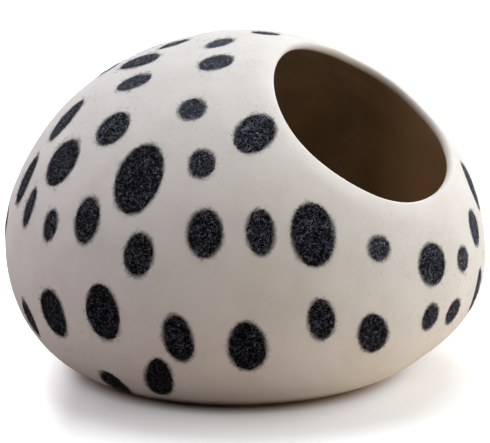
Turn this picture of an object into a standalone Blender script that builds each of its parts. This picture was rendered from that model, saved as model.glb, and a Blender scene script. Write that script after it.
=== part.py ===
"""A felted pet cave: one seamless hollow dome of thick wool felt with a slanted round doorway.

The cave stands on the floor, with Z up, and its doorway faces -Y. The origin is on the floor, under
the middle of the dome. Sizes are in metres, and a bearing is in degrees round the cave: 0 is the
front, where the doorway is, and 90 is +X.

The dome is lofted. Its first loop is the lip of the doorway and its last is the edge of the flat
foot, and every loop between them lies on the outer face of the dome.
"""

import math

import bmesh
import bpy
from mathutils import Vector

# The dome's outer face, in profile: its widest level is at BELLY_HEIGHT
BELLY_RADIUS = 0.230
BELLY_HEIGHT = 0.110
CROWN_RISE = 0.213
CROWN_ROUNDNESS = 1.90
FOOT_RADIUS = 0.129
FOOT_ROUNDNESS = 1.70
FOOT_OFFSET = Vector((-0.0055, 0.0080, 0.0))
WALL = 0.008

# The doorway is an oval about an axis that climbs from the middle of the dome. The angles are
# measured there, and clock angles run round the doorway from +X, up over the top
DOOR_CLIMB = 48.6
DOOR_REACH = 27.9
DOOR_OVAL = 2.1
DOOR_LEAN = 25.0

# The doorway was cut by hand, so its edge wanders a little. Each row is a clock angle, how far the
# edge strays outwards there, and how wide that stray is, all in degrees
DOOR_WANDER = (
    dict(clock=65, stray=0.3, width=28),
    dict(clock=178, stray=0.3, width=22),
    dict(clock=212, stray=-0.2, width=18),
    dict(clock=245, stray=0.5, width=22),
    dict(clock=300, stray=-0.3, width=20),
)

# Felt is never quite round. Each row is a soft swell of the wall, or a dent where depth is
# negative: its bearing, height, depth and how wide it spreads
SWELLS = (
    dict(bearing=-20, height=0.175, depth=-0.0022, spread=0.060),
    dict(bearing=5, height=0.030, depth=-0.0030, spread=0.050),
    dict(bearing=34, height=0.065, depth=0.0020, spread=0.045),
    dict(bearing=-75, height=0.060, depth=0.0018, spread=0.080),
    dict(bearing=-140, height=0.260, depth=0.0020, spread=0.070),
    dict(bearing=-146, height=0.055, depth=-0.0080, spread=0.055),
    dict(bearing=-146, height=0.155, depth=0.0020, spread=0.060),
    dict(bearing=165, height=0.090, depth=0.0012, spread=0.085),
    dict(bearing=120, height=0.200, depth=-0.0025, spread=0.070),
    dict(bearing=80, height=0.060, depth=0.0020, spread=0.070),
    dict(bearing=150, height=0.275, depth=-0.0020, spread=0.060),
    dict(bearing=60, height=0.245, depth=0.0015, spread=0.060),
)

# Near the doorway the wall turns in towards the lip, whose two edges are rounded
TURN_IN_DEPTH = 0.0028
TURN_IN_REACH = 0.022
LIP_ROUNDING = 0.0034
LIP_STEPS = 3

# The loft: its loops lie at these distances from the lip, and then evenly down to the foot
AROUND = 60
LIP_LOOPS = (0.0, 0.005, 0.012, 0.022)
WALL_LOOPS = 26

FELT_WHITE = (0.80, 0.76, 0.71, 1.0)
FELT_ROUGHNESS = 0.95

HEART = Vector((0.0, 0.0, BELLY_HEIGHT))
HALVINGS = 40
SHARP_CORNER = 55.0


def clear_scene():
    for obj in list(bpy.data.objects):
        bpy.data.objects.remove(obj)


def bearing_direction(bearing):
    """A level unit vector that points away from the cave's axis at this bearing, in radians."""
    return Vector((math.sin(bearing), -math.cos(bearing), 0.0))


def plain_radius(height, foot_shift):
    """The dome's outer radius at a height. foot_shift widens the foot on one side."""
    rise = height - BELLY_HEIGHT
    if rise >= 0.0:
        share = min(rise / CROWN_RISE, 1.0) ** 2
        return BELLY_RADIUS * (1.0 - share) ** (1.0 / CROWN_ROUNDNESS)
    share = min(-rise / BELLY_HEIGHT, 1.0) ** 2
    foot = FOOT_RADIUS + foot_shift
    return foot + (BELLY_RADIUS - foot) * (1.0 - share) ** (1.0 / FOOT_ROUNDNESS)


def swell_at(point):
    """How far the soft swells and dents move the outer face at a point on it."""
    total = 0.0
    for swell in SWELLS:
        height = swell["height"]
        out = bearing_direction(math.radians(swell["bearing"])) * plain_radius(height, 0.0)
        away = (point - out - Vector((0.0, 0.0, height))).length / swell["spread"]
        total += swell["depth"] * math.exp(-away * away)
    return total


def inside_dome(point):
    """Whether a point lies inside the smooth dome, above the floor."""
    if not 0.0 < point.z < BELLY_HEIGHT + CROWN_RISE:
        return False
    across = Vector((point.x, point.y, 0.0))
    shift = FOOT_OFFSET.dot(across.normalized()) if across.length > 0.0 else 0.0
    return across.length < plain_radius(point.z, shift)


def outer_face(direction):
    """Where a ray from the heart of the dome meets its smooth outer face, found by halving."""
    near, far = 0.0, 2.0 * BELLY_RADIUS
    for _ in range(HALVINGS):
        middle = (near + far) / 2.0
        if inside_dome(HEART + direction * middle):
            near = middle
        else:
            far = middle
    return HEART + direction * far


def door_axis():
    climb = math.radians(DOOR_CLIMB)
    return Vector((0.0, -math.cos(climb), math.sin(climb)))


def door_edge(clock):
    """The direction from the heart to the edge of the doorway at a clock angle, in radians."""
    reach = DOOR_REACH + DOOR_OVAL * math.cos(2.0 * (clock - math.radians(DOOR_LEAN)))
    for stray in DOOR_WANDER:
        turn = math.degrees(clock) - stray["clock"]
        turn = (turn + 180.0) % 360.0 - 180.0
        reach += stray["stray"] * math.exp(-((turn / stray["width"]) ** 2))
    axis = door_axis()
    side = Vector((1.0, 0.0, 0.0))
    up = side.cross(axis).normalized() * -1.0
    reach = math.radians(reach)
    across = side * math.cos(clock) + up * math.sin(clock)
    return axis * math.cos(reach) + across * math.sin(reach)


def foot_edge(bearing):
    """The edge of the flat foot at a bearing, in radians. It lies on the floor."""
    out = bearing_direction(bearing)
    return out * (FOOT_RADIUS + FOOT_OFFSET.dot(out))


def loft_line(step):
    """The points of one line of the loft, from the lip over the dome to the foot."""
    clock = 2.0 * math.pi * step / AROUND
    start = door_edge(clock)
    bearing = clock + math.pi / 2.0
    end_point = foot_edge(bearing)
    end = (end_point - HEART).normalized()
    arc = start.angle(end)
    points = []
    for loop in range(len(LIP_LOOPS) + WALL_LOOPS - 1):
        if loop < len(LIP_LOOPS):
            turned = LIP_LOOPS[loop] / BELLY_RADIUS
        else:
            first = LIP_LOOPS[-1] / BELLY_RADIUS
            turned = first + (arc - first) * (loop - len(LIP_LOOPS) + 1) / WALL_LOOPS
        direction = start.slerp(end, turned / arc)
        point = outer_face(direction)
        clear = max(1.0 - turned * BELLY_RADIUS / TURN_IN_REACH, 0.0)
        lift = min(point.z / WALL, 1.0)
        point += direction * (swell_at(point) * lift - TURN_IN_DEPTH * clear * clear)
        points.append(point)
    points.append(end_point)
    return points


def felt_material():
    material = bpy.data.materials.new("white_wool_felt")
    material.use_nodes = True
    shader = material.node_tree.nodes["Principled BSDF"]
    shader.inputs["Base Color"].default_value = FELT_WHITE
    shader.inputs["Roughness"].default_value = FELT_ROUGHNESS
    shader.inputs["Metallic"].default_value = 0.0
    return material


def add_modifiers(cave):
    wall = cave.modifiers.new("felt_wall", "SOLIDIFY")
    wall.thickness = WALL
    wall.offset = -1.0
    wall.use_even_offset = True
    lip = cave.modifiers.new("rounded_lip", "BEVEL")
    lip.width = LIP_ROUNDING
    lip.segments = LIP_STEPS
    lip.limit_method = "ANGLE"
    lip.angle_limit = math.radians(SHARP_CORNER)


def make_cave():
    lines = [loft_line(step) for step in range(AROUND)]
    mesh = bpy.data.meshes.new("cave_shell")
    builder = bmesh.new()
    columns = [[builder.verts.new(point) for point in line] for line in lines]
    for step, column in enumerate(columns):
        beside = columns[(step + 1) % AROUND]
        for loop in range(len(column) - 1):
            builder.faces.new((column[loop], column[loop + 1], beside[loop + 1], beside[loop]))
    builder.faces.new([column[-1] for column in columns])
    bmesh.ops.recalc_face_normals(builder, faces=builder.faces)
    builder.to_mesh(mesh)
    builder.free()
    mesh.shade_smooth()
    cave = bpy.data.objects.new("cave_shell", mesh)
    cave.data.materials.append(felt_material())
    bpy.context.scene.collection.objects.link(cave)
    add_modifiers(cave)
    return cave


clear_scene()
make_cave()
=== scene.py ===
# %% [markdown]
# # A felt pet cave
#
# A cave like this is one piece of wool felt. The maker lays wool in two round layers over a flat
# template, wets and rubs them until they felt together, takes the template out through a hole cut
# for the doorway, and then shapes the hollow over a form as it dries. The dark spots are tufts of
# charcoal wool laid on last, so they are part of the wall and not sewn to it.
#
# This lesson starts from the finished solid of the cave. It keeps that solid's size and place, and
# gives the felt its fine surface: a smooth wall, a rolled lip, spots with soft edges, and fuzz.

# %% Load the solid cave
import math

import bpy
import numpy as np
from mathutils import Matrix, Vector, noise


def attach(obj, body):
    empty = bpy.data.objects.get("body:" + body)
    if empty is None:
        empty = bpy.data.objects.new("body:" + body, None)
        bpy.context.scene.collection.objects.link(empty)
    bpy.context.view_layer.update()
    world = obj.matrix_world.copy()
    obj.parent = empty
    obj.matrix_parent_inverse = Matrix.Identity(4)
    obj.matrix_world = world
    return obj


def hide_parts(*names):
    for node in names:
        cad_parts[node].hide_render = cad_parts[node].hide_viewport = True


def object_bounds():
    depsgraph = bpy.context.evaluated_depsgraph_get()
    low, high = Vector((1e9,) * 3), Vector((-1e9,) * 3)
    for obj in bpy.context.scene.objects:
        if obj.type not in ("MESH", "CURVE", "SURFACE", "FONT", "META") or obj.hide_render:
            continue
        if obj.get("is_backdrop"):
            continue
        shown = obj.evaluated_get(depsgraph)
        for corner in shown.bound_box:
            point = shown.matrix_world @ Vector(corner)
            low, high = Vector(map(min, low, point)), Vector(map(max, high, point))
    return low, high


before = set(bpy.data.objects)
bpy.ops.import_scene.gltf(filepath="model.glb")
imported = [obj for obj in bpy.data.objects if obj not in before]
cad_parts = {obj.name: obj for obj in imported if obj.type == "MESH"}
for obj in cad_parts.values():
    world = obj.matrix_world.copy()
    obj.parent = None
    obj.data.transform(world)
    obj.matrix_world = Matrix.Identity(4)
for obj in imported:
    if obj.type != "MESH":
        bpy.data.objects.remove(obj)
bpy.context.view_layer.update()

# %% [markdown]
# ## The camera
#
# The camera comes first, because every later look depends on it. A long lens from almost two
# metres away keeps the dome's outline nearly free of perspective. The camera stands to the left of
# the doorway, a little above the cave, and looks at a point on the cave's own axis.

# %% Place the camera
CAMERA_BEARING = -56.5
CAMERA_CLIMB = 13.1
CAMERA_DISTANCE = 1.824
CAMERA_LENS = 139.3
LOOK_AT = Vector((0.0, 0.0, 0.139))


def direction(bearing, climb):
    """A unit vector, from two angles in degrees. Bearing 0 is the cave's front, at -Y."""
    round_way, up_way = math.radians(bearing), math.radians(climb)
    level = math.cos(up_way)
    return Vector((math.sin(round_way) * level, -math.cos(round_way) * level, math.sin(up_way)))


camera_data = bpy.data.cameras.new("camera")
camera_data.lens = CAMERA_LENS
camera = bpy.data.objects.new("camera", camera_data)
backwards = direction(CAMERA_BEARING, CAMERA_CLIMB)
camera.location = LOOK_AT + backwards * CAMERA_DISTANCE
camera.rotation_euler = (-backwards).to_track_quat("-Z", "Y").to_euler()
bpy.context.scene.collection.objects.link(camera)
bpy.context.scene.camera = camera
print("the camera stands at", [round(place, 3) for place in camera.location])

# %% [markdown]
# ## The dome's plain form
#
# The wall is a surface of turning with a soft belly: wide and low, round at the crown, and curving
# in to a flat foot. The same few sizes shaped the solid, so the fine surface lies exactly on it.
# Everything here is worked out for many points at once, as arrays, which keeps it quick.

# %% The dome's profile
BELLY_RADIUS = 0.230
BELLY_HEIGHT = 0.110
CROWN_RISE = 0.213
CROWN_ROUNDNESS = 1.90
FOOT_RADIUS = 0.129
FOOT_ROUNDNESS = 1.70
FOOT_OFFSET = np.array((-0.0055, 0.0080, 0.0))
WALL = 0.008
HEART = np.array((0.0, 0.0, BELLY_HEIGHT))
HALVINGS = 36


def plain_radius(height, foot_shift):
    """The dome's outer radius at each height."""
    rise = height - BELLY_HEIGHT
    above = np.clip(rise / CROWN_RISE, 0.0, 1.0) ** 2
    below = np.clip(-rise / BELLY_HEIGHT, 0.0, 1.0) ** 2
    foot = FOOT_RADIUS + foot_shift
    upper = BELLY_RADIUS * (1.0 - above) ** (1.0 / CROWN_ROUNDNESS)
    lower = foot + (BELLY_RADIUS - foot) * (1.0 - below) ** (1.0 / FOOT_ROUNDNESS)
    return np.where(rise >= 0.0, upper, lower)


def outer_face(ways):
    """Where rays from the heart of the dome, along unit vectors, meet its outer face."""
    near = np.zeros(ways.shape[:-1])
    far = np.full(ways.shape[:-1], 2.0 * BELLY_RADIUS)
    for _ in range(HALVINGS):
        middle = (near + far) / 2.0
        point = HEART + ways * middle[..., None]
        reach = np.hypot(point[..., 0], point[..., 1])
        shift = (point[..., :2] @ FOOT_OFFSET[:2]) / np.maximum(reach, 1e-9)
        height = point[..., 2]
        inside = (height > 0.0) & (height < BELLY_HEIGHT + CROWN_RISE)
        inside &= reach < plain_radius(height, shift)
        near = np.where(inside, middle, near)
        far = np.where(inside, far, middle)
    return HEART + ways * far[..., None]


crown = outer_face(np.array((0.0, 0.0, 1.0)))

# %% [markdown]
# ## Swells and dents
#
# Hand-made felt is never quite round. A short table names the soft swells and dents of this wall,
# each with its place, its depth and how wide it spreads. A bell curve blends each one away.

# %% The soft swells of the wall
SWELLS = (
    dict(bearing=-20, height=0.175, depth=-0.0022, spread=0.060),
    dict(bearing=5, height=0.030, depth=-0.0030, spread=0.050),
    dict(bearing=34, height=0.065, depth=0.0020, spread=0.045),
    dict(bearing=-75, height=0.060, depth=0.0018, spread=0.080),
    dict(bearing=-140, height=0.260, depth=0.0020, spread=0.070),
    dict(bearing=-146, height=0.055, depth=-0.0080, spread=0.055),
    dict(bearing=-146, height=0.155, depth=0.0020, spread=0.060),
    dict(bearing=165, height=0.090, depth=0.0012, spread=0.085),
    dict(bearing=120, height=0.200, depth=-0.0025, spread=0.070),
    dict(bearing=80, height=0.060, depth=0.0020, spread=0.070),
    dict(bearing=150, height=0.275, depth=-0.0020, spread=0.060),
    dict(bearing=60, height=0.245, depth=0.0015, spread=0.060),
)


def swell_at(points):
    """How far the swells and dents move each point of the outer face."""
    total = np.zeros(points.shape[:-1])
    for swell in SWELLS:
        out = np.array(direction(swell["bearing"], 0.0)) * plain_radius(swell["height"], 0.0)
        centre = out + np.array((0.0, 0.0, swell["height"]))
        away = np.linalg.norm(points - centre, axis=-1) / swell["spread"]
        total += swell["depth"] * np.exp(-away * away)
    return total


print(len(SWELLS), "swells and dents, up to",
      round(1000 * max(abs(swell["depth"]) for swell in SWELLS), 1), "mm deep")

# %% [markdown]
# ## The doorway
#
# The doorway is cut with scissors when the felt is half dry. It is an oval round an axis that
# climbs out of the front of the dome, seen from the heart as angles, and its edge wanders a little
# where the scissors did.

# %% The doorway's edge
DOOR_CLIMB = 48.6
DOOR_REACH = 27.9
DOOR_OVAL = 2.1
DOOR_LEAN = 25.0
DOOR_WANDER = (
    dict(clock=65, stray=0.3, width=28),
    dict(clock=178, stray=0.3, width=22),
    dict(clock=212, stray=-0.2, width=18),
    dict(clock=245, stray=0.5, width=22),
    dict(clock=300, stray=-0.3, width=20),
)


def door_edge(clock):
    """Directions from the heart to the doorway's edge, at clock angles in radians."""
    reach = DOOR_REACH + DOOR_OVAL * np.cos(2.0 * (clock - math.radians(DOOR_LEAN)))
    for stray in DOOR_WANDER:
        turn = (np.degrees(clock) - stray["clock"] + 180.0) % 360.0 - 180.0
        reach = reach + stray["stray"] * np.exp(-((turn / stray["width"]) ** 2))
    axis = direction(0.0, DOOR_CLIMB)
    side = Vector((1.0, 0.0, 0.0))
    up = axis.cross(side)
    reach = np.radians(reach)
    across = np.outer(np.cos(clock), side) + np.outer(np.sin(clock), up)
    return np.outer(np.cos(reach), axis) + across * np.sin(reach)[:, None]


rim = outer_face(door_edge(np.radians(np.arange(0.0, 360.0, 10.0))))
print("the doorway is about", round(float(np.ptp(rim[:, 0])), 3), "m wide")

# %% [markdown]
# ## The felt wall
#
# The wall could be a sphere with a hole and a Solidify modifier. A loft written as a grid gives
# better control: one line of points for each step round the doorway, running from the lip over the
# dome to the middle of the foot. The inner face is the same grid moved in by the wall's thickness
# along its normals, and a half-round row of points joins the two at the lip, rolled as wet felt
# rolls under the maker's thumb.

# %% Lay out the lines of the wall
COLUMNS = 300
WALL_ROWS = 120
FOOT_ROWS = 7
TURN_IN_DEPTH = 0.0028
TURN_IN_REACH = 0.022
LIP_ROLL = 0.0036


def unit(vectors):
    return vectors / np.linalg.norm(vectors, axis=-1, keepdims=True)


def outer_grid():
    """The outer face as rows by columns, from just behind the lip to the edge of the foot."""
    clock = np.arange(COLUMNS) * 2.0 * math.pi / COLUMNS
    start = door_edge(clock)
    out = np.stack((np.cos(clock), np.sin(clock), np.zeros(COLUMNS)), axis=1)
    foot = out * (FOOT_RADIUS + out @ FOOT_OFFSET)[:, None]
    end = unit(foot - HEART)
    arc = np.arccos(np.sum(start * end, axis=1))
    first = LIP_ROLL / BELLY_RADIUS
    share = (np.arange(WALL_ROWS + 1) / WALL_ROWS)[:, None]
    turned = first + (arc[None, :] - first) * share
    ways = np.sin(arc - turned)[..., None] * start + np.sin(turned)[..., None] * end
    ways = unit(ways)
    points = outer_face(ways)
    clear = np.clip(1.0 - turned * BELLY_RADIUS / TURN_IN_REACH, 0.0, None)
    lift = np.clip(points[..., 2] / WALL, 0.0, 1.0)
    points += ways * (swell_at(points) * lift - TURN_IN_DEPTH * clear**2)[..., None]
    points[-1] = foot
    return points


def foot_grid(edge):
    """Rings of the flat foot, from inside its edge to a small ring round its middle."""
    middle = edge.mean(axis=0)
    shares = np.linspace(1.0, 0.0, FOOT_ROWS + 1)[1:-1]
    return middle + (edge - middle) * shares[:, None, None]


outer = outer_grid()
outer = np.concatenate((outer, foot_grid(outer[-1])))
print("the outer face has", outer.shape[0], "rows of", outer.shape[1], "points")

# %% [markdown]
# Fine, slow noise makes the wall as uneven as real felt. It moves each point along the wall's
# normal, and fades out towards the floor. Every second row, moved in by the wall's thickness, then
# gives the inner face, which needs fewer points because it is hardly seen.

# %% Add the lumps and the inner face
INNER_SKIP = 2
LUMPS = (dict(size=0.045, depth=0.0006), dict(size=0.016, depth=0.00025))
LEVEL_FOOT = 0.012


def lumps_at(points):
    """Slow noise in metres, fading out towards the floor so that the foot stays flat."""
    flat = points.reshape(-1, 3)
    total = np.zeros(len(flat))
    for lump in LUMPS:
        fine = [noise.noise(Vector(point) / lump["size"]) for point in flat]
        total += lump["depth"] * np.array(fine)
    lift = np.clip(flat[:, 2] / LEVEL_FOOT, 0.0, 1.0)
    return (total * lift).reshape(points.shape[:-1])


def grid_normals(points):
    along = np.gradient(points, axis=0)
    beside = np.roll(points, -1, axis=1) - np.roll(points, 1, axis=1)
    return unit(np.cross(along, beside))


normals = grid_normals(outer)
if normals[WALL_ROWS // 2, 0] @ (outer[WALL_ROWS // 2, 0] - HEART) < 0.0:
    normals = -normals
lumps = lumps_at(outer)
outer += normals * lumps[..., None]
inner = (outer - normals * WALL)[::INNER_SKIP]
print("the lumps are up to", round(1000 * float(np.abs(lumps).max()), 2), "mm high or deep, and",
      "the inner face has", len(inner), "rows")

# %% [markdown]
# The rows of the inner face, the lip and the outer face now follow each other like one long sleeve,
# which starts and ends at the middle of the foot.

# %% Roll the lip between the two faces
LIP_ROWS = 9


def lip_rows(outer_edge, normal, outwards):
    """A half-round roll from the outer face to the inner one."""
    middle = outer_edge - normal * WALL / 2.0
    rows = []
    for turn in np.linspace(0.0, math.pi, LIP_ROWS + 2)[1:-1]:
        rise = normal * math.cos(turn) * WALL / 2.0
        rows.append(middle + rise + outwards * math.sin(turn) * LIP_ROLL)
    return rows


edge_way = unit(outer[0] - outer[1])
edge_way = unit(edge_way - normals[0] * np.sum(edge_way * normals[0], axis=1)[:, None])
rows = list(inner[::-1]) + lip_rows(outer[0], normals[0], edge_way)[::-1] + list(outer)
rows = np.array(rows)
lip_start = len(inner)
outer_start = lip_start + LIP_ROWS
print("the sleeve has", len(rows), "rows, of which", LIP_ROWS, "roll round the lip")

# %% [markdown]
# Four neighbouring points make a face, and a fan of triangles closes each end of the sleeve. The
# volume says whether the faces point outwards: it comes out negative where they don't.

# %% Join the rows into one closed wall
foot_middles = (rows[0].mean(axis=0), rows[-1].mean(axis=0))
points = np.concatenate((rows.reshape(-1, 3), foot_middles))

faces = []
for row in range(len(rows) - 1):
    for column in range(COLUMNS):
        beside = (column + 1) % COLUMNS
        low, high = row * COLUMNS, (row + 1) * COLUMNS
        faces.append((low + column, low + beside, high + beside, high + column))
last = (len(rows) - 1) * COLUMNS
for column in range(COLUMNS):
    beside = (column + 1) % COLUMNS
    faces.append((column, len(points) - 2, beside))
    faces.append((last + beside, len(points) - 1, last + column))

wall_mesh = bpy.data.meshes.new("felt_cave")
wall_mesh.from_pydata(points.tolist(), [], faces)
wall_mesh.validate()
cave = bpy.data.objects.new("felt_cave", wall_mesh)
bpy.context.scene.collection.objects.link(cave)
wall_mesh.shade_smooth()
volume = 0.0
wall_mesh.calc_loop_triangles()
for triangle in wall_mesh.loop_triangles:
    a, b, c = (wall_mesh.vertices[corner].co for corner in triangle.vertices)
    volume += a.dot(b.cross(c)) / 6.0
if volume < 0.0:
    wall_mesh.flip_normals()
print("the wall has", len(wall_mesh.loop_triangles), "triangles and holds",
      round(abs(volume) * 1000, 2), "litres of felt")

# %% [markdown]
# ## Where the spots lie
#
# Each spot was a flattened tuft of wool, so it is an oval, placed like a pin on a globe by its
# bearing and its climb above the belly. Its width, height and lean are as the maker's hand left
# them. The sides that no picture shows carry on in the same rhythm. For every point of the wall
# the script works out how many millimetres it lies inside the nearest oval, and keeps that number
# on the mesh as an attribute: the material turns it into colour, and the fuzz reads it as well.
#
# Spots aren't equally black. A small tuft is thin, so it looks greyer, and a spot high towards the
# crown, and one on the right where the lamps stand, is made greyer still as painted light. One
# short rule gives each spot its greyness, the second attribute. A third one counts the millimetres
# past the crest of the lip, where the inner wool begins.

# %% The chart of spots
# bearing and climb in degrees, wide and tall in millimetres, lean in degrees towards +bearing
SPOTS = (
    # round the crown
    (-85.5, 76.8, 17, 30, 22), (-74, 66, 33, 25, -42), (-136, 71.4, 18, 29, 5),
    (14, 84.5, 26, 15, 62), (-128, 61.4, 27, 46, 55), (-109.5, 54.4, 22, 35, 50),
    (-150, 53.5, 20, 26, 0),
    # the upper wall
    (-75, 48, 25, 26, 10), (-53.5, 41.5, 33, 45, 35), (-100.5, 40, 34, 37, 0),
    (-128, 38.3, 26, 48, 0), (-68, 33.3, 23, 28, 0), (-113.3, 29, 42, 47, 0),
    (-84.5, 28.8, 45, 66, 0),
    # above the belly
    (-129.5, 21.5, 24, 50, 0), (-120, 16.5, 18, 37, 0), (-138, 9, 14, 27, 0),
    (-108, 14.6, 20, 29, 0), (-96, 17.7, 28, 42, -6), (-65.5, 17.5, 31, 42, -3),
    (-53, 17.9, 24, 40, -2), (-41, 17, 39, 55, 0), (-80.5, 12, 28, 38, 0),
    (-25, 12.5, 23, 22, -10), (-9.8, 6.6, 36, 38, 0), (3, 5.3, 22, 23, 0),
    (13, 10.4, 26, 34, -8), (24, 18.4, 26, 48, -3),
    # below the belly
    (-89, -1.8, 36, 51, -8), (-105, -5, 35, 45, -12), (-118.5, -9.5, 22, 36, -10),
    (-71, -5.7, 27, 46, -7), (-56, -7.3, 33, 50, -5), (-40, -1.5, 24, 38, -9),
    (-27, -6.5, 29, 42, -28), (-10, -5.5, 22, 26, -10), (0, -6.6, 24, 25, -4), (15, -5, 19, 42, 0),
    # close to the floor
    (-94.5, -24.5, 28, 48, 14), (-77.8, -18.2, 26, 60, 15),
    # the far side, from the right of the doorway round the back
    (151, 75, 22, 30, -20), (98, 68, 26, 34, 15), (-168, 62, 22, 34, -15), (131, 59, 22, 30, 10),
    (66, 61, 22, 30, -25), (-172, 45, 34, 43, 10), (160, 50, 22, 28, 0), (106, 47, 36, 46, -15),
    (82, 43, 22, 28, 10), (60, 46, 25, 38, -20), (-159, 32, 25, 40, 8), (180, 26, 44, 60, -5),
    (152, 34, 28, 36, 12), (131, 31, 24, 34, -8), (112, 27, 38, 50, 6), (91, 25, 28, 40, -10),
    (71, 30, 23, 29, 5), (51, 26, 34, 46, 8), (-155, 13, 26, 42, 0), (-168, 5, 32, 44, 5),
    (163, 14, 32, 42, 4), (146, 11, 21, 28, -4), (130, 11, 34, 48, 3), (113, 6, 22, 34, -8),
    (96, 7, 33, 40, 2), (78, 11, 24, 38, -3), (62, 6, 36, 50, 4), (42, 6, 26, 36, -5),
    (-155, -11, 28, 40, -10), (179, -2, 22, 30, 6), (162, -9, 32, 42, -4), (146, -7, 24, 34, 8),
    (123, -10, 30, 44, -6), (107, -12, 22, 30, 5), (90, -12, 32, 42, -8), (74, -9, 20, 28, 4),
    (55, -14, 26, 36, -5), (40, -10, 24, 34, 6), (-169, -19, 24, 38, 8), (141, -22, 24, 32, 10),
    (71, -24, 26, 34, 6),
)
print(len(SPOTS), "spots, from", min(row[3] for row in SPOTS), "to",
      max(row[3] for row in SPOTS), "mm tall")

# %% [markdown]
# A spot's width and height lie along the wall. Two neighbouring places on the wall, half a degree
# away, give these directions, and the lean turns them.

# %% Place a spot and say how grey it is
PIN_STEP = 0.5
PAINTED_LIGHT_HEIGHT, PAINTED_LIGHT_POWER = 0.080, 0.80
GREY_AREA, GREY_THINNING = 1100.0, 0.49
PAINTED_LIGHT_SIDE, PAINTED_LIGHT_FALL = -0.10, 3.65
GREY_LIMIT = 4.0


def spot_frame(bearing, climb, lean):
    """The middle of a spot on the wall, and the directions of its width and its height."""
    places = ((bearing, climb), (bearing + PIN_STEP, climb), (bearing, climb + PIN_STEP))
    middle, beside, higher = (outer_face(np.array(direction(*place))) for place in places)
    across = unit(beside - middle)
    up = unit(higher - middle)
    turn = math.radians(lean)
    wide_way = across * math.cos(turn) - up * math.sin(turn)
    tall_way = up * math.cos(turn) + across * math.sin(turn)
    return middle, wide_way, tall_way


def greyness(middle, wide, tall):
    """How grey a spot looks, about 1: a small spot is greyer, and painted light greys a high or
    right-hand one.
    """
    # the height and side factors are painted light; the size factor is the tuft's thinness
    high = (middle[2] / PAINTED_LIGHT_HEIGHT) ** PAINTED_LIGHT_POWER
    thin = (GREY_AREA / (wide * tall)) ** GREY_THINNING
    side = math.exp(PAINTED_LIGHT_FALL * (min(middle[0], 0.0) - PAINTED_LIGHT_SIDE))
    return min(high * thin * side, GREY_LIMIT)


greys = [greyness(spot_frame(bearing, climb, lean)[0], wide, tall)
         for bearing, climb, wide, tall, lean in SPOTS]
print("greyness runs from", round(min(greys), 2), "to", round(max(greys), 2))

# %% [markdown]
# The distance to an oval has no short formula. The level of the oval's equation, divided by how
# steeply it rises there, comes close enough near the edge, where it matters.

# %% Keep three numbers on the mesh
SPOT_LIMIT = 25.0
SPOT_REACH = 2.0
LIP_LIMIT = 30.0


def depth_in_spots(points):
    """How many millimetres each point lies inside the nearest spot, negative outside it.

    The second array says how grey that spot is."""
    depth = np.full(len(points), -SPOT_LIMIT)
    grey = np.ones(len(points))
    for bearing, climb, wide, tall, lean in SPOTS:
        middle, across, up = spot_frame(bearing, climb, lean)
        away = (points - middle) * 1000.0
        half_wide, half_tall = wide / 2.0, tall / 2.0
        x, y = away @ across, away @ up
        level = np.sqrt((x / half_wide) ** 2 + (y / half_tall) ** 2)
        steep = np.sqrt((x / half_wide**2) ** 2 + (y / half_tall**2) ** 2)
        inside = (1.0 - level) * level / np.maximum(steep, 1e-6)
        inside[np.linalg.norm(away, axis=1) > SPOT_REACH * max(wide, tall)] = -SPOT_LIMIT
        nearest = inside > depth
        depth[nearest] = inside[nearest]
        grey[nearest] = greyness(middle, wide, tall)
    return np.clip(depth, -SPOT_LIMIT, SPOT_LIMIT), grey


wall_points = np.empty(len(wall_mesh.vertices) * 3)
wall_mesh.vertices.foreach_get("co", wall_points)
wall_points = wall_points.reshape(-1, 3)
is_outer = np.zeros(len(wall_points), dtype=bool)
is_outer[outer_start * COLUMNS:] = True
is_outer[-2] = False
spot_depth, spot_grey_and_light = depth_in_spots(wall_points)
spot_depth = np.where(is_outer, spot_depth, -SPOT_LIMIT)
lip_middle = lip_start + LIP_ROWS // 2
steps = np.linalg.norm(np.diff(rows, axis=0), axis=2)
lengths = np.concatenate((np.zeros((1, COLUMNS)), np.cumsum(steps, axis=0)))
past_lip = 1000.0 * (lengths[lip_middle] - lengths)
past_lip = np.concatenate((past_lip.ravel(), (past_lip[0].mean(), past_lip[-1].mean())))
past_lip = np.clip(past_lip, -LIP_LIMIT, LIP_LIMIT)
for name, values in (("spot_depth", spot_depth), ("spot_grey_and_light", spot_grey_and_light), ("past_lip", past_lip)):
    attribute = wall_mesh.attributes.new(name, "FLOAT", "POINT")
    attribute.data.foreach_set("value", values.astype(np.float32))
print("the spots cover", round(100 * float(np.mean(spot_depth[is_outer] > 0)), 1),
      "% of the outer points")

# %% [markdown]
# ## Tools for node trees
#
# A node tree is long when every node and link is written out. Three helpers keep the next cells
# readable: one starts a group with named sockets, one adds a node with its settings, and one feeds
# an input with a link or a plain value.

# %% Start a group and add nodes
def new_group(name, inputs, outputs=(), geometry=False):
    """An empty node group with float inputs, given as name and value, and named outputs."""
    group = bpy.data.node_groups.new(name, "GeometryNodeTree" if geometry else "ShaderNodeTree")

    def socket(socket_name, way, kind="NodeSocketFloat"):
        return group.interface.new_socket(socket_name, in_out=way, socket_type=kind)

    if geometry:
        socket("Geometry", "INPUT", "NodeSocketGeometry")
        socket("Geometry", "OUTPUT", "NodeSocketGeometry")
    for socket_name, value in inputs:
        socket(socket_name, "INPUT").default_value = value
    for socket_name in outputs:
        socket(socket_name, "OUTPUT")
    return group, group.nodes.new("NodeGroupInput"), group.nodes.new("NodeGroupOutput")


def add_node(tree, kind, values=(), **settings):
    """A node with its settings, and values for its inputs given by index or name."""
    node = tree.nodes.new(kind)
    for key, value in settings.items():
        setattr(node, key, value)
    for key, value in dict(values).items():
        node.inputs[key].default_value = value
    return node


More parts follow.
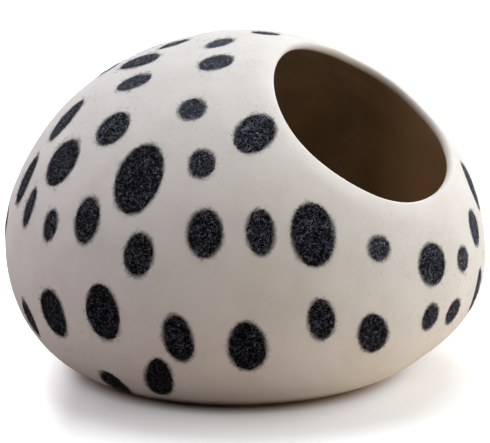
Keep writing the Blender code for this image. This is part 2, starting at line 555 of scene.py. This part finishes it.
def feed(tree, target, value):
    """Link a socket to an input, or write a plain value into it."""
    if isinstance(value, bpy.types.NodeSocket):
        tree.links.new(value, target)
    else:
        target.default_value = value


print("node tools: new_group, add_node and feed")

# %% [markdown]
# Most nodes here do sums, and sums are easier to read as words. So a Math node, a product, a smooth
# step and a noise of a given size get a helper each.

# %% Do sums with nodes
NOISE_ROUGHNESS = 0.6


def math_node(tree, operation, first, second=None):
    """A Math node whose two inputs are sockets or numbers. Returns its output."""
    node = add_node(tree, "ShaderNodeMath", operation=operation)
    feed(tree, node.inputs[0], first)
    if second is not None:
        feed(tree, node.inputs[1], second)
    return node.outputs[0]


def times(tree, first, *others):
    """The product of two or more sockets or numbers."""
    for other in others:
        first = math_node(tree, "MULTIPLY", first, other)
    return first


def range_node(tree, value, low, high, to_low=0.0, to_high=1.0):
    """A smooth step from one range to another. Returns its output."""
    node = add_node(tree, "ShaderNodeMapRange", interpolation_type="SMOOTHSTEP",
                    values={"From Min": low, "From Max": high, "To Min": to_low, "To Max": to_high})
    tree.links.new(value, node.inputs["Value"])
    return node.outputs["Result"]


def noise_node(tree, place, size, detail=2.0, distortion=0.0):
    """Noise whose features are about as large as size, in metres. Returns its output."""
    node = add_node(tree, "ShaderNodeTexNoise",
                    values={"Detail": detail, "Roughness": NOISE_ROUGHNESS,
                            "Distortion": distortion})
    tree.links.new(place, node.inputs["Vector"])
    feed(tree, node.inputs["Scale"], math_node(tree, "DIVIDE", 1.0, size))
    return node.outputs["Fac"]


print("sums: math_node, times, range_node and noise_node")

# %% [markdown]
# ## Shader groups for wool
#
# Felt is a mat of short curled fibres. Two shader node groups carry what every wool here shares.
# The first makes fibre grain as a height, thin curled strands along the middle line of a noise,
# and slow mottling. The second turns the distance inside a spot into a soft edge that breaks up
# into tufts, and says how near the heart of the spot a point lies. They put out only values, and
# each material mixes them with its own colours.

# %% Build the fibre group
FIBRE_SIZE, STRAND_WIDTH = 0.0028, 0.032
GRAIN_SIZE, LOCK_SIZE, MOTTLE_SIZE = 0.0012, 0.0040, 0.048
GRAIN_SHARE, LOCK_SHARE = 0.4, 0.6
STRAND_EDGE = (0.4, 1.6, 1.0, 0.0)
STRAND_SEEN = (0.42, 0.60)
MOTTLE_RANGE = (0.30, 0.72)


def fibre_group():
    group, source, result = new_group(
        "wool_fibres",
        (("Fibre Size", FIBRE_SIZE), ("Strand Width", STRAND_WIDTH)),
        ("Height", "Strands", "Mottle"),
    )
    place = add_node(group, "ShaderNodeTexCoord").outputs["Object"]
    grain = noise_node(group, place, GRAIN_SIZE, detail=4.0, distortion=1.2)
    curls = noise_node(group, place, source.outputs["Fibre Size"], detail=1.0, distortion=0.6)
    locks = times(group, noise_node(group, place, LOCK_SIZE, detail=3.0), LOCK_SHARE)
    slow = noise_node(group, place, MOTTLE_SIZE, detail=4.0)
    off_line = math_node(group, "ABSOLUTE", math_node(group, "SUBTRACT", curls, 0.5))
    share = math_node(group, "DIVIDE", off_line, source.outputs["Strand Width"])
    line = range_node(group, share, *STRAND_EDGE)
    seen = math_node(group, "ADD", locks, times(group, grain, GRAIN_SHARE))
    seen = range_node(group, seen, *STRAND_SEEN)
    group.links.new(times(group, line, seen), result.inputs["Strands"])
    group.links.new(math_node(group, "ADD", grain, locks), result.inputs["Height"])
    group.links.new(range_node(group, slow, *MOTTLE_RANGE), result.inputs["Mottle"])
    return group


wool_fibres = fibre_group()
print("shader group:", wool_fibres.name, "with", len(wool_fibres.nodes), "nodes")

# %% Build the group for a spot's edge
EDGE_SOFTNESS, EDGE_RAGGEDNESS, EDGE_SPREAD = 2.0, 7.0, 0.5
FINE_SIZE, TUFT_SIZE, WAVER_SIZE, PATCH_SIZE = 0.0011, 0.0032, 0.012, 0.009
FINE_SHARE, TUFT_SHARE = 0.45, 0.55
WAVER_RANGE = (0.35, 0.65, 0.6, 1.8)
PATCH_RANGE = (0.35, 0.60, 0.45, 1.3)
HEART_REACH = (0.0, 2.5)


def spot_group():
    group, source, result = new_group(
        "spot_edge",
        (("Depth", 0.0), ("Softness", EDGE_SOFTNESS), ("Raggedness", EDGE_RAGGEDNESS),
         ("Spread", EDGE_SPREAD)),
        ("Mask", "Heart"),
    )
    place = add_node(group, "ShaderNodeTexCoord").outputs["Object"]
    fine = noise_node(group, place, FINE_SIZE, detail=3.0, distortion=1.0)
    tufts = noise_node(group, place, TUFT_SIZE, detail=3.0, distortion=0.8)
    slow = noise_node(group, place, WAVER_SIZE, detail=2.0)
    mixed = math_node(group, "ADD", times(group, fine, FINE_SHARE),
                      times(group, tufts, TUFT_SHARE))
    stray = times(group, math_node(group, "SUBTRACT", mixed, 0.5), source.outputs["Raggedness"])
    depth = math_node(group, "ADD", source.outputs["Depth"],
                      math_node(group, "ADD", stray, source.outputs["Spread"]))
    softness = times(group, source.outputs["Softness"], range_node(group, slow, *WAVER_RANGE))
    share = math_node(group, "DIVIDE", depth, softness)
    group.links.new(range_node(group, share, -1.0, 1.0), result.inputs["Mask"])
    patches = noise_node(group, place, PATCH_SIZE, detail=1.0)
    heart = times(group, range_node(group, depth, *HEART_REACH),
                  range_node(group, patches, *PATCH_RANGE))
    group.links.new(heart, result.inputs["Heart"])
    return group


spot_edge = spot_group()
print("shader group:", spot_edge.name, "with", len(spot_edge.nodes), "nodes")

# %% [markdown]
# ## The felt's material
#
# One material covers the whole wall, because the wool was felted together. Its colour is mixed in
# steps, so one helper mixes two colours, and another starts a material. Felt has no shine, and a
# little sheen gives it the soft rim that fuzz has.

# %% Start the felt's material
FELT_ROUGHNESS = 0.95
FELT_SHEEN = 0.03
SHEEN_ROUGHNESS = 0.5


def mix_colours(tree, share, first, second, blend="MIX"):
    """Mix two colours by a share, each a socket or a plain value. Returns the mixed colour."""
    node = add_node(tree, "ShaderNodeMix", data_type="RGBA", blend_type=blend, clamp_factor=False)
    for index, value in ((0, share), (6, first), (7, second)):
        feed(tree, node.inputs[index], value)
    return node.outputs[2]


def new_material(name, roughness, sheen=0.0, specular=0.5):
    material = bpy.data.materials.new(name)
    material.use_nodes = True
    shader = material.node_tree.nodes["Principled BSDF"]
    shader.inputs["Roughness"].default_value = roughness
    shader.inputs["Specular IOR Level"].default_value = specular
    shader.inputs["Sheen Weight"].default_value = sheen
    shader.inputs["Sheen Roughness"].default_value = SHEEN_ROUGHNESS
    return material, material.node_tree, shader


spotted_felt, felt_tree, felt_shader = new_material("spotted_felt", FELT_ROUGHNESS, FELT_SHEEN, 0.0)
wall_mesh.materials.append(spotted_felt)
print("material:", spotted_felt.name)

# %% [markdown]
# The outside is natural white with slow, faint mottling, and charcoal inside the spots, where
# single grey strands catch the light. The strands are brighter on the greyer spots, and the greyest
# also get a thin haze, a painted sheen; both follow the spots' greyness, which is partly painted
# light. The white turns brown close to the floor, as a painted contact shadow where the shadow of
# the edge begins.

# %% Colour the outside
WHITE_LIGHT = (0.71, 0.685, 0.66, 1.0)
WHITE_DEEP = (0.66, 0.63, 0.60, 1.0)
CHARCOAL = (0.0018, 0.0018, 0.0024, 1.0)
STRAND_GREY = (0.112, 0.121, 0.166, 1.0)
STRAND_LIMIT = 2.1
PAINTED_SHEEN_HAZE = (0.041, 0.043, 0.056, 1.0)
HAZE_RANGE = (1.5, 4.5)
# painted contact shadow: brown, full below 6 mm and gone by 24 mm above the floor
FOOT_SHADE = (0.085, 0.034, 0.010, 1.0)
FOOT_SHADE_HEIGHT = (0.006, 0.024)
FOOT_SHADE_POWER = 1.5


def mesh_value(tree, name):
    """One of the numbers that lie on the mesh, for a material."""
    return add_node(tree, "ShaderNodeAttribute", attribute_name=name).outputs["Fac"]


def outside_colour(tree, mottle, strands, place):
    """White wool with charcoal spots, and painted contact shadow in brown close to the floor."""
    edge = add_node(tree, "ShaderNodeGroup", node_tree=spot_edge)
    feed(tree, edge.inputs["Depth"], mesh_value(tree, "spot_depth"))
    grey = mesh_value(tree, "spot_grey_and_light")
    light = times(tree, strands, edge.outputs["Heart"],
                  math_node(tree, "MINIMUM", grey, STRAND_LIMIT))
    dark = mix_colours(tree, light, CHARCOAL, STRAND_GREY)
    # painted sheen: a thin haze added on the greyest spots
    dark = mix_colours(tree, range_node(tree, grey, *HAZE_RANGE), dark, PAINTED_SHEEN_HAZE, "ADD")
    white = mix_colours(tree, mottle, WHITE_DEEP, WHITE_LIGHT)
    spotted = mix_colours(tree, edge.outputs["Mask"], white, dark)
    split = add_node(tree, "ShaderNodeSeparateXYZ")
    tree.links.new(place, split.inputs[0])
    low = range_node(tree, split.outputs["Z"], *FOOT_SHADE_HEIGHT, 1.0, 0.0)
    return mix_colours(tree, math_node(tree, "POWER", low, FOOT_SHADE_POWER), spotted, FOOT_SHADE)


felt_fibres = add_node(felt_tree, "ShaderNodeGroup", node_tree=wool_fibres)
felt_place = add_node(felt_tree, "ShaderNodeTexCoord").outputs["Object"]
outside = outside_colour(felt_tree, felt_fibres.outputs["Mottle"], felt_fibres.outputs["Strands"],
                         felt_place)
print("the outside reads the attributes spot_depth and spot_grey_and_light")

# %% [markdown]
# The inside is coloured brown-grey, and painted light makes it paler by the right end of the
# doorway, where the lamps stand. The lip turns from the outside's colour to the inside's over its
# roll. A fine bump from the fibre group keeps the light from sliding over the felt.

# %% Colour the inside, and finish the felt
INNER_BROWN = (0.48, 0.375, 0.265, 1.0)
INNER_DEEP = (0.37, 0.285, 0.192, 1.0)
INNER_FADE = (-2.5, 9.0)
PAINTED_INNER_LIGHT = (0.90, 0.70, 0.50, 1.0)
PAINTED_INNER_LIGHT_REACH = (0.125, 0.185)
LIT_BEARING = 33.5  # the right of the doorway, seen from the camera, where most lamps stand
FIBRE_BUMP = {"Strength": 0.45, "Distance": 0.0004}


def reach_towards(tree, place, bearing):
    """How many metres a place lies from the cave's middle towards a bearing."""
    node = add_node(tree, "ShaderNodeVectorMath", operation="DOT_PRODUCT",
                    values={1: direction(bearing, 0.0)})
    tree.links.new(place, node.inputs[0])
    return node.outputs["Value"]


brown = mix_colours(felt_tree, felt_fibres.outputs["Mottle"], INNER_DEEP, INNER_BROWN)
# painted light: the inside turns paler towards the lamp side of the doorway
pale = range_node(felt_tree, reach_towards(felt_tree, felt_place, LIT_BEARING), *PAINTED_INNER_LIGHT_REACH)
brown = mix_colours(felt_tree, pale, brown, PAINTED_INNER_LIGHT)
past_crest = range_node(felt_tree, mesh_value(felt_tree, "past_lip"), *INNER_FADE)
feed(felt_tree, felt_shader.inputs["Base Color"],
     mix_colours(felt_tree, past_crest, outside, brown))
bump = add_node(felt_tree, "ShaderNodeBump", values=FIBRE_BUMP)
feed(felt_tree, bump.inputs["Height"], felt_fibres.outputs["Height"])
feed(felt_tree, felt_shader.inputs["Normal"], bump.outputs["Normal"])
print("the felt's material has", len(felt_tree.nodes), "nodes")

# %% [markdown]
# ## Fuzz
#
# Loose fibre ends stand out of felt everywhere, and most of all where a tuft was laid on. They are
# real geometry here: a Geometry Nodes tree scatters points on the wall, denser where a number on
# the mesh says so, and puts a thin bent spike on each, lying almost flat. The tree ends in Realize
# Instances and Set Material, and its result is kept as a plain mesh.

# %% Say where fibres grow
FUZZ_LIP = (-2.0, 4.0, 1.0, 0.0)
FUZZ_FLOOR = (0.004, 0.012)
FUZZ_GREY = (0.3, 1.8, 0.15, 1.0)


def mesh_number(tree, name):
    """One of the numbers that lie on the mesh, for a Geometry Nodes tree."""
    node = add_node(tree, "GeometryNodeInputNamedAttribute", data_type="FLOAT",
                    values={"Name": name})
    return node.outputs["Attribute"]


def height_of_points(tree):
    split = tree.nodes.new("ShaderNodeSeparateXYZ")
    tree.links.new(tree.nodes.new("GeometryNodeInputPosition").outputs[0], split.inputs[0])
    return split.outputs["Z"]


def fibre_density(tree, density, depth_range, by_greyness):
    """Density where spot_depth lies in a range: none at its ends, most in its middle."""
    start, full, fade, end = depth_range
    rising = range_node(tree, mesh_number(tree, "spot_depth"), start, full)
    falling = range_node(tree, mesh_number(tree, "spot_depth"), fade, end, 1.0, 0.0)
    outside = range_node(tree, mesh_number(tree, "past_lip"), *FUZZ_LIP)
    above = range_node(tree, height_of_points(tree), *FUZZ_FLOOR)
    density = times(tree, times(tree, rising, falling), times(tree, outside, above), density)
    if by_greyness:
        density = times(tree, density,
                        range_node(tree, mesh_number(tree, "spot_grey_and_light"), *FUZZ_GREY))
    return density


print("fibres stop", FUZZ_LIP[1], "mm past the crest of the lip and", 1000 * FUZZ_FLOOR[0],
      "mm above the floor")

# %% [markdown]
# A fibre is a thin open cone with three sides, bent towards its tip. It is spun any way round the
# wall's normal and leaned over until it almost lies flat, as rubbed wool does.

# %% Shape one fibre and lay it down
SPIKE = {"Vertices": 3, "Side Segments": 2, "Radius Top": 0.0}
LEAN_RANGE = (0.75, 1.12)


def vector_of(tree, **parts):
    """A vector whose X, Y or Z come from sockets, and are 0 where none is given."""
    node = tree.nodes.new("ShaderNodeCombineXYZ")
    for name, value in parts.items():
        feed(tree, node.inputs[name], value)
    return node.outputs[0]


def random_number(tree, low, high, seed):
    node = add_node(tree, "FunctionNodeRandomValue", data_type="FLOAT",
                    values={2: low, 3: high, "Seed": seed})
    return node.outputs[1]


def bent_spike(tree, length, thickness, curl):
    """One fibre: an open cone that bends sideways more and more towards its tip."""
    spike = add_node(tree, "GeometryNodeMeshCone", fill_type="NONE", values=SPIKE)
    feed(tree, spike.inputs["Radius Bottom"], thickness)
    feed(tree, spike.inputs["Depth"], length)
    share = math_node(tree, "DIVIDE", height_of_points(tree), length)
    sideways = times(tree, times(tree, share, share), times(tree, curl, length))
    bend = tree.nodes.new("GeometryNodeSetPosition")
    feed(tree, bend.inputs["Geometry"], spike.outputs["Mesh"])
    feed(tree, bend.inputs["Offset"], vector_of(tree, X=sideways))
    return bend.outputs["Geometry"]


def lay_down(tree, turn, lie, seed):
    """Spin a fibre any way round the wall's normal, and then lean it over."""
    spin = random_number(tree, -math.pi, math.pi, seed + 1)
    lean = times(tree, random_number(tree, *LEAN_RANGE, seed + 2), lie)
    for angles in (vector_of(tree, Z=spin), vector_of(tree, X=lean)):
        node = add_node(tree, "FunctionNodeRotateRotation", rotation_space="LOCAL")
        feed(tree, node.inputs["Rotation"], turn)
        feed(tree, node.inputs["Rotate By"], angles)
        turn = node.outputs["Rotation"]
    return turn


print("a fibre has", SPIKE["Vertices"] * (2 * SPIKE["Side Segments"] - 1), "triangles")

# %% [markdown]
# The tree joins these parts: points, a fibre on each, and real geometry with a material. It runs
# once on the wall's mesh, and what it grows becomes a piece of its own.

# %% Build the tree and keep what it grows
SIZE_RANGE = (0.55, 1.35)
FUZZ_INPUTS = (("Density", 1000.0), ("Length", 0.005), ("Thickness", 0.0002), ("Lie", 1.2),
               ("Curl", 0.3))


def fuzz_tree(name, material, depth_range, seed, by_greyness):
    tree, source, result = new_group(name, FUZZ_INPUTS, geometry=True)
    given = source.outputs
    scatter = add_node(tree, "GeometryNodeDistributePointsOnFaces", distribute_method="RANDOM",
                       values={"Seed": seed})
    feed(tree, scatter.inputs["Mesh"], given["Geometry"])
    feed(tree, scatter.inputs["Density"],
         fibre_density(tree, given["Density"], depth_range, by_greyness))
    plant = tree.nodes.new("GeometryNodeInstanceOnPoints")
    feed(tree, plant.inputs["Points"], scatter.outputs["Points"])
    feed(tree, plant.inputs["Instance"],
         bent_spike(tree, given["Length"], given["Thickness"], given["Curl"]))
    feed(tree, plant.inputs["Rotation"],
         lay_down(tree, scatter.outputs["Rotation"], given["Lie"], seed))
    feed(tree, plant.inputs["Scale"], random_number(tree, *SIZE_RANGE, seed + 3))
    realize = tree.nodes.new("GeometryNodeRealizeInstances")
    feed(tree, realize.inputs["Geometry"], plant.outputs["Instances"])
    paint = add_node(tree, "GeometryNodeSetMaterial", values={"Material": material})
    feed(tree, paint.inputs["Geometry"], realize.outputs["Geometry"])
    feed(tree, result.inputs["Geometry"], paint.outputs["Geometry"])
    return tree


def grow_fuzz(name, material, depth_range, seed, by_greyness=False, **sizes):
    """Fibres on the cave's wall as a plain mesh object of their own."""
    tree = fuzz_tree(name, material, depth_range, seed, by_greyness)
    host = bpy.data.objects.new(name + "_host", wall_mesh)
    bpy.context.scene.collection.objects.link(host)
    modifier = host.modifiers.new(name, "NODES")
    modifier.node_group = tree
    for item in tree.interface.items_tree:
        if item.in_out == "INPUT" and item.name in sizes:
            modifier[item.identifier] = sizes[item.name]
    depsgraph = bpy.context.evaluated_depsgraph_get()
    mesh = bpy.data.meshes.new_from_object(host.evaluated_get(depsgraph))
    mesh.name = name
    bpy.data.objects.remove(host)
    piece = bpy.data.objects.new(name, mesh)
    bpy.context.scene.collection.objects.link(piece)
    mesh.calc_loop_triangles()
    print(name, "has", len(mesh.loop_triangles), "triangles")
    return piece


print("each fibre is grown at", SIZE_RANGE[0], "to", SIZE_RANGE[1], "times its length")

# %% [markdown]
# Three kinds of fibre grow on the wall: charcoal ones in a band round each spot's edge, which
# makes it feather out, grey ones inside, more of them on the greyer spots, and pale ones on the
# white.

# %% Grow the fuzz
DARK_WOOL = (0.0060, 0.0062, 0.0080, 1.0)
GREY_WOOL = (0.157, 0.174, 0.228, 1.0)
PALE_WOOL = (0.74, 0.70, 0.66, 1.0)
FIBRE_ROUGHNESS = 0.8
FIBRE_DEEP = 0.6


def fibre_material(name, colour, sheen):
    """Single fibres: one wool colour that changes a little from place to place."""
    material, tree, shader = new_material(name, FIBRE_ROUGHNESS, sheen)
    fibres = add_node(tree, "ShaderNodeGroup", node_tree=wool_fibres)
    darker = tuple(FIBRE_DEEP * part for part in colour[:3]) + (1.0,)
    mixed = mix_colours(tree, fibres.outputs["Mottle"], darker, colour)
    tree.links.new(mixed, shader.inputs["Base Color"])
    return material


dark_fuzz = grow_fuzz("dark_fuzz", fibre_material("charcoal_fibre", DARK_WOOL, 0.1),
                      (-1.0, 0.6, 1.4, 3.2), 11,
                      Density=620000.0, Length=0.0036, Thickness=0.00012, Lie=1.25, Curl=0.5)
# more grey fibres grow on greyer spots, whose greyness is partly painted light
grey_fuzz = grow_fuzz("grey_fuzz", fibre_material("grey_fibre", GREY_WOOL, 0.2),
                      (0.8, 2.5, 20.0, 25.0), 23, by_greyness=True,
                      Density=260000.0, Length=0.0030, Thickness=0.00016, Lie=1.3, Curl=0.7)
pale_fuzz = grow_fuzz("pale_fuzz", fibre_material("pale_fibre", PALE_WOOL, 0.2),
                      (-24.0, -20.0, -1.0, 0.5), 37,
                      Density=36000.0, Length=0.0034, Thickness=0.00008, Lie=1.3, Curl=0.6)

# %% [markdown]
# ## The floor
#
# The cave stands on a plain white floor. A studio picture of this kind has its background lifted to
# white afterwards, and the floor does the same through a Light Path node: it glows for the camera,
# which is painted light. The camera sees a floor that is lifted, except close to the foot, where it
# turns dim and warm as a painted contact shadow, and a little less on the shaded side, a painted
# shadow. The felt is lit by a darker, warmer floor, which is brighter where the lamps stand.

# %% Mix the floor's colours
FLOOR_BOUNCE = (0.46, 0.39, 0.35, 1.0)
BRIGHT_BOUNCE = (0.95, 0.79, 0.60, 1.0)
BRIGHT_REACH = (0.03, 0.13)
BRIGHT_FADE = (0.22, 0.36, 1.0, 0.0)
FLOOR_LIFT = 0.29
SHADE_REACH = (-0.16, -0.02, 0.70, 1.0)
FAR_LIFT = 0.65
FAR_REACH = (-0.205, -0.150, 1.0, 0.0)


def floor_felt_sees(tree, away, across):
    """The colour that lights the felt: warm, and brighter close by on the lit side."""
    bright = times(tree, range_node(tree, away, *BRIGHT_FADE),
                   range_node(tree, across, *BRIGHT_REACH))
    return mix_colours(tree, bright, FLOOR_BOUNCE, BRIGHT_BOUNCE)


def floor_lift(tree, clear, across):
    """How far the camera's floor is lifted: less on the shaded side, and most far beyond it."""
    lift = times(tree, clear, FLOOR_LIFT, range_node(tree, across, *SHADE_REACH))
    far_lift = times(tree, range_node(tree, across, *FAR_REACH), FAR_LIFT)
    return math_node(tree, "ADD", lift, far_lift)


print("the floor is lifted by", FLOOR_LIFT, "and by", FAR_LIFT, "more past the shaded side")

# %% [markdown]
# The material asks each ray whether it comes from the camera and answers with one of the two
# floors. The floor itself is one large square that lies a hair below the foot, so the two faces
# never share a place.

# %% Lay the floor
FLOOR_SIZE = 30.0
FLOOR_DROP = 0.0004
FLOOR_WHITE = (0.90, 0.90, 0.90, 1.0)
FLOOR_ROUGHNESS = 0.9
CONTACT_REACH = (0.012, 0.044)
PAINTED_CONTACT_SHADOW = (0.66, 0.40, 0.24, 1.0)


def floor_material():
    material, tree, shader = new_material("white_floor", FLOOR_ROUGHNESS, specular=0.0)
    ray = add_node(tree, "ShaderNodeLightPath").outputs["Is Camera Ray"]
    place = add_node(tree, "ShaderNodeTexCoord").outputs["Object"]
    from_foot = add_node(tree, "ShaderNodeVectorMath", operation="DISTANCE",
                         values={1: tuple(FOOT_OFFSET)})
    tree.links.new(place, from_foot.inputs[0])
    away = from_foot.outputs["Value"]
    across = reach_towards(tree, place, LIT_BEARING)
    clear = range_node(tree, math_node(tree, "SUBTRACT", away, FOOT_RADIUS), *CONTACT_REACH)
    # painted contact shadow: a dim, warm tint close to the foot
    seen = mix_colours(tree, clear, PAINTED_CONTACT_SHADOW, FLOOR_WHITE)
    colour = mix_colours(tree, ray, floor_felt_sees(tree, away, across), seen)
    tree.links.new(colour, shader.inputs["Base Color"])
    shader.inputs["Emission Color"].default_value = FLOOR_WHITE
    # the camera's floor glows: painted light
    lift = times(tree, ray, floor_lift(tree, clear, across))
    tree.links.new(lift, shader.inputs["Emission Strength"])
    return material


half = FLOOR_SIZE / 2.0
corners = [(x * half, y * half, -FLOOR_DROP) for x, y in ((-1, -1), (1, -1), (1, 1), (-1, 1))]
floor_mesh = bpy.data.meshes.new("floor")
floor_mesh.from_pydata(corners, [], ((0, 1, 2, 3),))
floor_mesh.materials.append(floor_material())
floor = bpy.data.objects.new("floor", floor_mesh)
bpy.context.scene.collection.objects.link(floor)
floor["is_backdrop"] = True
print("the floor is", FLOOR_SIZE, "m square")

# %% [markdown]
# ## The light
#
# Five very soft lights stand for a studio's softboxes: one overhead brightens the crown, three on
# the right shape the dome, and one behind on the left draws its rim. Each is a sun with a wide
# angle, so its light is even and its shadow has no edge.

# %% Hang the lights
SKY_WHITE = (1.0, 1.0, 1.0, 1.0)
SKY_STRENGTH = 0.02
SOFT_LIGHTS = (
    dict(name="overhead", bearing=120, climb=72, strength=2.7, spread=50, tint=(0.94, 0.99, 1.0)),
    dict(name="right_front", bearing=5, climb=8, strength=1.35, spread=50, tint=(1.0, 0.90, 0.74)),
    dict(name="right_high", bearing=30, climb=25, strength=0.95, spread=50, tint=(0.90, 0.96, 1.0)),
    dict(name="right_back", bearing=60, climb=8, strength=2.3, spread=50, tint=(0.95, 0.97, 1.0)),
    dict(name="left_back", bearing=-155, climb=35, strength=1.4, spread=60, tint=(0.97, 0.90, 1.0)),
)

world = bpy.data.worlds.new("studio")
world.use_nodes = True
sky = world.node_tree.nodes["Background"]
sky.inputs["Color"].default_value = SKY_WHITE
sky.inputs["Strength"].default_value = SKY_STRENGTH
bpy.context.scene.world = world
bpy.context.scene.view_settings.view_transform = "Standard"

for light in SOFT_LIGHTS:
    lamp_data = bpy.data.lights.new(light["name"], "SUN")
    lamp_data.energy = light["strength"]
    lamp_data.angle = math.radians(light["spread"])
    lamp_data.color = light["tint"]
    lamp = bpy.data.objects.new(light["name"], lamp_data)
    towards = direction(light["bearing"], light["climb"])
    lamp.location = LOOK_AT + towards
    lamp.rotation_euler = (-towards).to_track_quat("-Z", "Y").to_euler()
    bpy.context.scene.collection.objects.link(lamp)

# %% [markdown]
# ## Attach the pieces to the body
#
# The wall and its fuzz ride on the cave's one body. The wall takes the place of the solid, which is
# hidden. It was made from two round layers of wool, 57 cm across, felted together at their rims,
# which is a flat piece 57 cm by 114 cm of half a square metre.

fuzz = [dark_fuzz, grey_fuzz, pale_fuzz]
for piece in [cave] + fuzz:
    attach(piece, "root")
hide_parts("cave_shell")

# %% [markdown]
# ## The size
#
# The dressed cave must be as large as the solid one. Its box is printed.

# %% Write the sizes and finish
low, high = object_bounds()
print("the dressed cave measures", [round(side, 3) for side in high - low], "m")
